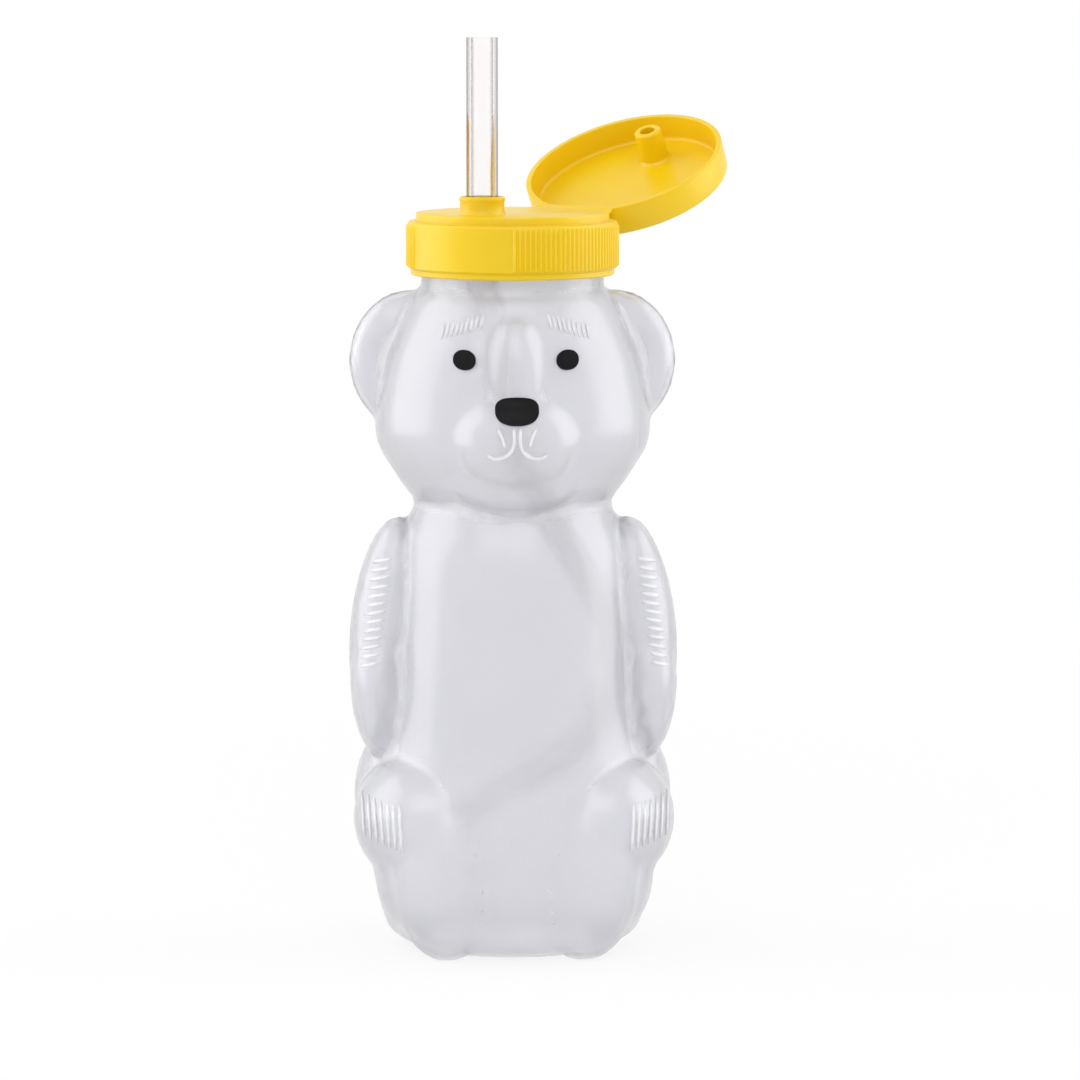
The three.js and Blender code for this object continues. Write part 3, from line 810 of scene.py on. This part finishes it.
# %% Open the lid
LID_OPEN_DEG = 153.5
to_hinge = Matrix.Translation((0, HINGE_R * MM, HINGE_Z * MM))
swing = to_hinge @ Matrix.Rotation(math.radians(-LID_OPEN_DEG), 4, "X") @ to_hinge.inverted()
place(lid, cap_frame @ swing)
shade_smooth(lid, sharp_from=32)
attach(lid, "lid")
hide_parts("flip_lid")
low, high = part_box("flip_lid")
print("lid solid, mm:", [round(v / MM, 1) for v in (*low, *high)])
print("lid piece, mm:", [round(v / MM, 1) for corner in (lid.bound_box[0], lid.bound_box[6]) for v in corner])

# %% [markdown]
# ## The living hinge
# A band of the same plastic, half a millimetre thick, joins the cap to the lid and bends when the lid
# moves. A stretched cube would do at rest, but could not bend.

# %% Hinge band
BAND_WIDTH = 16
BAND_THICKNESS = 0.5
BAND_FROM = -0.55
BAND_FIRST = 0.3
BEND_HALF = 0.6
BAND_BENDS = 8
BAND_REACH = 2.35
BAND_ROUNDING = 0.12
rise = math.radians(180 - LID_OPEN_DEG)
bpy.ops.object.select_all(action="DESELECT")
first_y = HINGE_R + BAND_FROM - BAND_FIRST / 2
bpy.ops.mesh.primitive_plane_add(size=1, location=(0, first_y * MM, HINGE_Z * MM))
hinge_band = bpy.context.object
hinge_band.name = "living_hinge"
hinge_band.scale = (BAND_WIDTH * MM, BAND_FIRST * MM, 1)
apply_place()
far_y = max(vertex.co.y for vertex in hinge_band.data.vertices)
for edge in hinge_band.data.edges:
    edge.select = all(hinge_band.data.vertices[i].co.y > far_y - TOUCH for i in edge.vertices)
for vertex in hinge_band.data.vertices:
    vertex.select = vertex.co.y > far_y - TOUCH
for face in hinge_band.data.polygons:
    face.select = False
bpy.ops.object.mode_set(mode="EDIT")
bpy.ops.mesh.select_mode(type="EDGE")
step = (BAND_REACH - BAND_FROM) / BAND_BENDS
for i in range(BAND_BENDS):
    slope = rise * min(max((BAND_FROM + (i + 0.5) * step + BEND_HALF) / (2 * BEND_HALF), 0), 1)
    move = (0, step * math.cos(slope) * MM, step * math.sin(slope) * MM)
    bpy.ops.mesh.extrude_region_move(TRANSFORM_OT_translate={"value": move})
bpy.ops.mesh.select_all(action="SELECT")
bpy.ops.mesh.subdivide(number_cuts=1)
bpy.ops.mesh.normals_make_consistent(inside=False)
bpy.ops.object.mode_set(mode="OBJECT")
apply_modifier(hinge_band, "SOLIDIFY", thickness=BAND_THICKNESS * MM, offset=0)
round_edges(hinge_band, BAND_ROUNDING)
place(hinge_band, cap_frame)
shade_smooth(hinge_band, sharp_from=32)
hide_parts("hinge_strap")
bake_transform(hinge_band)
print("hinge band:", len(hinge_band.data.polygons), "faces")

# %% [markdown]
# ## Foam seal
# A disc of white foam with a hole in it sits under the cap's deck and presses on the neck's rim. It hardly
# shows, but the cap would leak without it. A ring stack that runs round the section and meets itself again
# makes such a ring, where a cylinder would need its hole cut.

# %% Seal ring
low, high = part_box("neck_seal")
seal_outer = (high.x - low.x) / 2 / MM
seal_inner = RECESS_R
seal_low, seal_high = low.z / MM, high.z / MM
SEAL_EDGE = 0.15
SEAL_SIDES = 96
seal_profile = [
    (seal_inner, seal_low + SEAL_EDGE),
    (seal_inner + SEAL_EDGE, seal_low),
    (seal_outer - SEAL_EDGE, seal_low),
    (seal_outer, seal_low + SEAL_EDGE),
    (seal_outer, seal_high - SEAL_EDGE),
    (seal_outer - SEAL_EDGE, seal_high),
    (seal_inner + SEAL_EDGE, seal_high),
    (seal_inner, seal_high - SEAL_EDGE),
    (seal_inner, seal_low + SEAL_EDGE),
]
seal = ring_stack("seal_ring", seal_profile, SEAL_SIDES, closed_loop=True)
shade_smooth(seal, sharp_from=32)
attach(seal, "seal")
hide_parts("neck_seal")
print("seal:", len(seal.data.polygons), "faces")

# %% [markdown]
# ## The straw
# The straw is one soft clear tube. It stands straight in the collar, drops behind the nose and curls round
# the inside of the belly. Cylinders end to end would show their joints, so its middle line is a smooth
# curve through listed points. A round bevel on that curve makes the tube's outside, and Solidify
# its wall, so that it stays hollow.

# %% Straw tube
STRAW_R = 3.0
STRAW_WALL = 0.95
STRAW_ROUNDNESS = 18
STRAIGHT_BELOW = 8.5  # mm below the rim, from where the straw starts to bend
STRAW_TOP_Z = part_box("drinking_straw")[1].z / MM
STRAW_IN_HEAD = [(-3.4, -8.2, 117), (-2.4, -7.8, 107.5), (1.2, -7.2, 93.7), (4.9, -7, 86.8)]
STRAW_IN_BELLY = [
    (11.59, -6.6, 75),
    (16.72, -4.4, 66),
    (19, -0.5, 55),
    (17.1, 4.5, 44),
    (12.16, 7.4, 37),
    (5.32, 8.8, 32),
    (-5.32, 9, 26.5),
    (-10.26, 8.6, 23),
]
spout = cap_frame @ Vector((0, -SPOUT_OFFSET, 0))
straight = [(spout.x, spout.y, z) for z in (STRAW_TOP_Z, COLLAR_TOP_Z, RIM_Z, RIM_Z - STRAIGHT_BELOW)]
route = smooth_line([*straight, *STRAW_IN_HEAD, *STRAW_IN_BELLY], per_span=10, knot_power=0.5)
curve = bpy.data.curves.new("straw_tube", "CURVE")
curve.dimensions = "3D"
curve.bevel_depth = STRAW_R * MM
curve.bevel_resolution = STRAW_ROUNDNESS
spline = curve.splines.new("POLY")
spline.points.add(len(route) - 1)
for point, where in zip(spline.points, route):
    point.co = (*(where * MM), 1)
straw = bpy.data.objects.new("straw_tube", curve)
bpy.context.scene.collection.objects.link(straw)
pick(straw)
bpy.ops.object.convert(target="MESH")
straw = bpy.context.object
close_up(straw, fill_ends=False)
apply_modifier(straw, "SOLIDIFY", thickness=STRAW_WALL * MM, offset=-1)
shade_smooth(straw, sharp_from=40)
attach(straw, "straw")
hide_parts("drinking_straw")
straw_length = sum((b - a).length for a, b in zip(route, route[1:]))
print("straw length, mm:", round(straw_length, 1))

# %% [markdown]
# ## Finishes
# Each material starts from what the real one is. Colours are written as sRGB hex values, as a paint
# program shows them, and one function turns them into the linear values that the shaders use. Pattern
# scales are worked out from real sizes in millimetres: a scale of 1 / size repeats once per size on
# Object coordinates.


# %% Colour and node helpers
def linear(hex_colour):
    """An sRGB hex colour as linear red, green, blue and alpha."""
    values = [int(hex_colour[i : i + 2], 16) / 255 for i in (1, 3, 5)]
    return [v / 12.92 if v <= 0.04045 else ((v + 0.055) / 1.055) ** 2.4 for v in values] + [1]


def connect(material, node, links):
    """Links (source, output, input) into a node."""
    for source, output, target in links:
        material.node_tree.links.new(source.outputs[output], node.inputs[target])


def add_node(material, kind, links=(), **settings):
    """Adds a node, sets its sockets and properties by name, and links (source, output, input) into it."""
    node = material.node_tree.nodes.new(kind)
    for name, value in settings.items():
        socket = name.replace("_", " ")
        if socket in node.inputs:
            node.inputs[socket].default_value = value
        else:
            setattr(node, name, value)
    connect(material, node, links)
    return node


def new_material(name):
    """An empty node material, with its output, its Object coordinates and its main shader."""
    material = bpy.data.materials.new(name)
    material.use_nodes = True
    material.node_tree.nodes.clear()
    shader = add_node(material, "ShaderNodeBsdfPrincipled")
    add_node(material, "ShaderNodeOutputMaterial", links=[(shader, "BSDF", "Surface")])
    coordinates = add_node(material, "ShaderNodeTexCoord")
    return material, shader, coordinates


def output_of(material):
    """The material's output node."""
    return next(node for node in material.node_tree.nodes if node.type == "OUTPUT_MATERIAL")


def per_mm(size):
    """The texture scale that repeats a pattern once in a size in mm."""
    return 1 / (size * MM)


def dress(piece, material):
    """Gives a piece one material all over."""
    piece.data.materials.clear()
    piece.data.materials.append(material)


# %% [markdown]
# ## Natural polyethylene
# The bear is blown in a mould and left uncoloured. The eye sees milky plastic with soft gloss, faint flow
# streaks and a slightly wavy skin, whiter and less clear on the strokes and in the creases. There the colour
# is painted whiter: partly the thicker plastic, partly a painted highlight for the lamps' reflections on
# them. A volume inside the wall would scatter light truly, but it is slow, so rough transmission with some
# diffuse white stands in.

# %% Natural polyethylene
natural, shader, coordinates = new_material("natural_blown_polyethylene")
shader.inputs["IOR"].default_value = 1.5
shader.inputs["Coat Weight"].default_value = 0.3
shader.inputs["Coat Roughness"].default_value = 0.3
streaks = add_node(
    natural,
    "ShaderNodeTexNoise",
    links=[(coordinates, "Object", "Vector")],
    Scale=per_mm(16),
    Detail=3.0,
    Roughness=0.55,
)
thin = add_node(natural, "ShaderNodeMix", links=[(streaks, "Fac", "Factor")], data_type="RGBA")
thin.inputs["A"].default_value = linear("#F4F4F9")
thin.inputs["B"].default_value = linear("#FBFBFE")
# How raised or creased the skin is; it whitens the colour there, partly as a painted highlight.
thickness_and_highlight = add_node(natural, "ShaderNodeAttribute", attribute_name="relief")
tint = add_node(
    natural,
    "ShaderNodeMix",
    links=[(thickness_and_highlight, "Fac", "Factor"), (thin, "Result", "A")],
    data_type="RGBA",
)
# Pure white on strokes and creases: partly the thicker plastic, partly a painted highlight.
tint.inputs["B"].default_value = linear("#FFFFFF")
clear = add_node(natural, "ShaderNodeMapRange", links=[(thickness_and_highlight, "Fac", "Value")], To_Min=0.8, To_Max=0.3)
gloss = add_node(natural, "ShaderNodeMapRange", links=[(streaks, "Fac", "Value")], To_Min=0.19, To_Max=0.25)
skin = add_node(
    natural,
    "ShaderNodeTexNoise",
    links=[(coordinates, "Object", "Vector")],
    Scale=per_mm(5),
    Detail=2.0,
)
waves = add_node(natural, "ShaderNodeBump", links=[(skin, "Fac", "Height")], Strength=0.12, Distance=0.1 * MM)
connect(natural, shader, [(tint, "Result", "Base Color"), (clear, "Result", "Transmission Weight")])
connect(natural, shader, [(gloss, "Result", "Roughness"), (waves, "Normal", "Normal")])
dress(bear, natural)
print("bear:", natural.name)

# %% [markdown]
# ## Yellow polypropylene
# The closure is injection moulded in a polished tool. The eye sees a strong yellow with soft gloss, a
# glow in thin edges and a very fine grain. A flat colour would look like paint. A little subsurface light
# gives the glow, and two noises give the flow of the colour and the grain, which is drawn at 0.6 mm so
# that it shows.

# %% Yellow polypropylene
yellow, shader, coordinates = new_material("moulded_yellow_polypropylene")
shader.inputs["IOR"].default_value = 1.49
shader.inputs["Subsurface Weight"].default_value = 0.12
shader.inputs["Subsurface Radius"].default_value = (1.2, 0.7, 0.1)
shader.inputs["Subsurface Scale"].default_value = 1.5 * MM
flow = add_node(
    yellow,
    "ShaderNodeTexNoise",
    links=[(coordinates, "Object", "Vector")],
    Scale=per_mm(12),
    Detail=3.0,
)
tint = add_node(yellow, "ShaderNodeMix", links=[(flow, "Fac", "Factor")], data_type="RGBA")
tint.inputs["A"].default_value = linear("#EAC300")
tint.inputs["B"].default_value = linear("#F1CD03")
gloss = add_node(yellow, "ShaderNodeMapRange", links=[(flow, "Fac", "Value")], To_Min=0.28, To_Max=0.4)
grain = add_node(
    yellow,
    "ShaderNodeTexNoise",
    links=[(coordinates, "Object", "Vector")],
    Scale=per_mm(0.6),
    Detail=2.0,
)
bumps = add_node(
    yellow,
    "ShaderNodeBump",
    links=[(grain, "Fac", "Height")],
    Strength=0.06,
    Distance=0.05 * MM,
)
connect(yellow, shader, [(tint, "Result", "Base Color"), (gloss, "Result", "Roughness")])
connect(yellow, shader, [(bumps, "Normal", "Normal")])
for piece in (cap, lid, hinge_band):
    dress(piece, yellow)
print("cap, lid and hinge:", yellow.name)

# %% [markdown]
# ## Black printing ink and white foam
# The face is pad printed. The eye sees near black that is a little uneven, with little gloss. Its grain
# is too fine to show, so it is drawn at 0.8 mm. The seal is closed-cell polyethylene foam: matte, with
# cells of about half a millimetre, which a Voronoi pattern gives more simply than modelled cells.

# %% Black printing ink
ink, shader, coordinates = new_material("pad_printed_black_ink")
shader.inputs["IOR"].default_value = 1.5
shader.inputs["Specular IOR Level"].default_value = 0.12
specks = add_node(
    ink,
    "ShaderNodeTexNoise",
    links=[(coordinates, "Object", "Vector")],
    Scale=per_mm(0.8),
    Detail=3.0,
)
tint = add_node(ink, "ShaderNodeMix", links=[(specks, "Fac", "Factor")], data_type="RGBA")
tint.inputs["A"].default_value = linear("#060608")
tint.inputs["B"].default_value = linear("#161619")
gloss = add_node(ink, "ShaderNodeMapRange", links=[(specks, "Fac", "Value")], To_Min=0.3, To_Max=0.5)
bumps = add_node(ink, "ShaderNodeBump", links=[(specks, "Fac", "Height")], Strength=0.2, Distance=0.05 * MM)
connect(ink, shader, [(tint, "Result", "Base Color"), (gloss, "Result", "Roughness")])
connect(ink, shader, [(bumps, "Normal", "Normal")])
for piece in ink_pieces:
    dress(piece, ink)
print("eyes and nose:", ink.name)

# %% White foam
foam, shader, coordinates = new_material("white_polyethylene_foam")
shader.inputs["Roughness"].default_value = 0.75
cells = add_node(foam, "ShaderNodeTexVoronoi", links=[(coordinates, "Object", "Vector")], Scale=per_mm(0.5))
tint = add_node(foam, "ShaderNodeMix", links=[(cells, "Distance", "Factor")], data_type="RGBA")
tint.inputs["A"].default_value = linear("#F4F3EE")
tint.inputs["B"].default_value = linear("#E6E4DC")
bumps = add_node(
    foam,
    "ShaderNodeBump",
    links=[(cells, "Distance", "Height")],
    Strength=0.4,
    Distance=0.1 * MM,
)
connect(foam, shader, [(tint, "Result", "Base Color"), (bumps, "Normal", "Normal")])
dress(seal, foam)
print("seal:", foam.name)

# %% [markdown]
# ## Clear soft tube
# The straw is extruded and left uncoloured. The eye sees a clear, smooth tube whose walls look grey along
# both edges, and inside the bear a faint band. Plain glass would fill the walls with the yellow of the
# lid, so above the cap the tube bends light less than real soft tube does, and its edges are painted grey
# by how they face: a painted shade in place of the dark edges that bent light gives. Below the cap it bends
# light as real tube does and is faintly misted.

# %% Clear soft tube
tube, shader, coordinates = new_material("clear_extruded_tube")
cloud = add_node(
    tube,
    "ShaderNodeTexNoise",
    links=[(coordinates, "Object", "Vector")],
    Scale=per_mm(9),
    Detail=2.0,
)
# Above the cap the tube's edges are painted grey by how they face: a painted shade.
facing = add_node(tube, "ShaderNodeLayerWeight", Blend=0.5)
edge = add_node(tube, "ShaderNodeMapRange", links=[(facing, "Facing", "Value")], From_Min=0.2, From_Max=0.65)
height = add_node(tube, "ShaderNodeSeparateXYZ", links=[(coordinates, "Object", "Vector")])
dry = add_node(
    tube,
    "ShaderNodeMapRange",
    links=[(height, "Z", "Value")],
    From_Min=RIM_Z * MM,
    From_Max=COLLAR_TOP_Z * MM,
)
painted_edge_shade = add_node(
    tube,
    "ShaderNodeMath",
    links=[(edge, "Result", 0), (dry, "Result", 1)],
    operation="MULTIPLY",
)
bend = add_node(tube, "ShaderNodeMapRange", links=[(dry, "Result", "Value")], To_Min=1.45, To_Max=1.2)
clear = add_node(tube, "ShaderNodeMapRange", links=[(dry, "Result", "Value")], To_Min=0.9, To_Max=0.97)
tint = add_node(tube, "ShaderNodeMix", links=[(painted_edge_shade, "Value", "Factor")], data_type="RGBA")
tint.inputs["A"].default_value = linear("#FFFDFD")
# The grey painted into the edges as shade.
tint.inputs["B"].default_value = linear("#857F7D")
gloss = add_node(tube, "ShaderNodeMapRange", links=[(cloud, "Fac", "Value")], To_Min=0.03, To_Max=0.08)
connect(tube, shader, [(tint, "Result", "Base Color"), (gloss, "Result", "Roughness")])
connect(tube, shader, [(bend, "Result", "IOR"), (clear, "Result", "Transmission Weight")])
dress(straw, tube)
print("straw:", tube.name)

# %% [markdown]
# ## Studio
# The cup stands on a pale floor against white, as in a shop's picture. A white world gives most of the
# light, and three large soft lamps add the highlights on the plastic. The floor and the world could be
# lit until they are white, but that would wash out the cup. Instead they look white only to the rays that
# look at them, and light the cup at a plain level. The camera is about 1.2 metres away with a long lens,
# a little above the cap.

# %% Floor
FLOOR_SIZE = 6  # metres
bpy.ops.object.select_all(action="DESELECT")
bpy.ops.mesh.primitive_plane_add(size=FLOOR_SIZE, location=(0, 0, 0))
floor = bpy.context.object
floor.name = "floor"
floor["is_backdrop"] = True


def sees_background(material):
    """A node that is 1 for rays that look at the background, from the camera, in gloss or through plastic."""
    path = add_node(material, "ShaderNodeLightPath")
    first = add_node(
        material,
        "ShaderNodeMath",
        links=[(path, "Is Camera Ray", 0), (path, "Is Glossy Ray", 1)],
        operation="MAXIMUM",
    )
    return add_node(
        material,
        "ShaderNodeMath",
        links=[(first, "Value", 0), (path, "Is Transmission Ray", 1)],
        operation="MAXIMUM",
    )


SHADOW_FROM, SHADOW_TO = 0.12, 0.45  # metres from the cup, over which the floor turns to plain white
pale, shader, coordinates = new_material("pale_floor")
shader.inputs["Base Color"].default_value = linear("#F4F4F4")
shader.inputs["Roughness"].default_value = 0.8
away = add_node(pale, "ShaderNodeVectorMath", links=[(coordinates, "Object", 0)], operation="LENGTH")
fade = add_node(
    pale,
    "ShaderNodeMapRange",
    links=[(away, "Value", "Value")],
    From_Min=SHADOW_FROM,
    From_Max=SHADOW_TO,
    To_Min=0.85,
    To_Max=1.0,
    interpolation_type="SMOOTHSTEP",
)
lit = add_node(
    pale,
    "ShaderNodeMath",
    links=[(fade, "Result", 0), (sees_background(pale), "Value", 1)],
    operation="MULTIPLY",
)
paper = add_node(pale, "ShaderNodeEmission", Color=linear("#FFFFFF"), Strength=1.0)
sheet = add_node(
    pale,
    "ShaderNodeMixShader",
    links=[(lit, "Value", 0), (shader, "BSDF", 1), (paper, "Emission", 2)],
)
connect(pale, output_of(pale), [(sheet, "Shader", "Surface")])
dress(floor, pale)
print("floor:", pale.name)

# %% White world
world = bpy.data.worlds.new("studio")
world.use_nodes = True
world.node_tree.nodes.clear()
bpy.context.scene.world = world
soft = add_node(world, "ShaderNodeBackground", Color=linear("#FFFFFF"), Strength=0.7)
white = add_node(world, "ShaderNodeBackground", Color=linear("#FFFFFF"), Strength=1.0)
either = add_node(
    world,
    "ShaderNodeMixShader",
    links=[(sees_background(world), "Value", 0), (soft, "Background", 1), (white, "Background", 2)],
)
add_node(world, "ShaderNodeOutputWorld", links=[(either, "Shader", "Surface")])
print("world:", world.name)


# %% Lamps
CUP_MIDDLE = Vector((0, 0, 0.09))


def softbox(name, location, width, height, power):
    """A rectangular area lamp that faces the cup's middle."""
    bpy.ops.object.select_all(action="DESELECT")
    bpy.ops.object.light_add(type="AREA", location=location)
    lamp = bpy.context.object
    lamp.name = name
    lamp.data.shape = "RECTANGLE"
    lamp.data.size = width
    lamp.data.size_y = height
    lamp.data.energy = power
    aim = CUP_MIDDLE - lamp.location
    lamp.rotation_euler = aim.to_track_quat("-Z", "Y").to_euler()
    print(name, "in watts:", power)


softbox("left_panel", (-0.6, 0.07, 0.25), width=0.57, height=0.9, power=2.4)
softbox("right_panel", (0.62, 0.04, 0.25), width=0.5, height=0.9, power=2.1)
softbox("front_panel", (-0.15, -0.9, 1.0), width=1.2, height=0.8, power=4.0)

# %% Camera
CAMERA_AT = (-35.6, -1199.5, 210.1)  # mm
CAMERA_PITCH_DEG = 6.27
CAMERA_YAW_DEG = 1.95
CAMERA_LENS = 209.95
BOUNCES = 24  # light crosses eight surfaces on its way through the bear and the straw
bpy.ops.object.camera_add(location=Vector(CAMERA_AT) * MM)
camera = bpy.context.object
camera.rotation_euler = (math.radians(90 - CAMERA_PITCH_DEG), 0, math.radians(-CAMERA_YAW_DEG))
camera.data.sensor_width = 36
camera.data.lens = CAMERA_LENS
bpy.context.scene.camera = camera
bpy.context.scene.view_settings.view_transform = "Standard"
bpy.context.scene.cycles.max_bounces = BOUNCES
bpy.context.scene.cycles.transmission_bounces = BOUNCES
print("camera to the cup's middle, m:", round((camera.location - CUP_MIDDLE).length, 2))

# %% Sizes
low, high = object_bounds()
print("visual box, mm:", [[round(value / MM, 1) for value in corner] for corner in (low, high)])
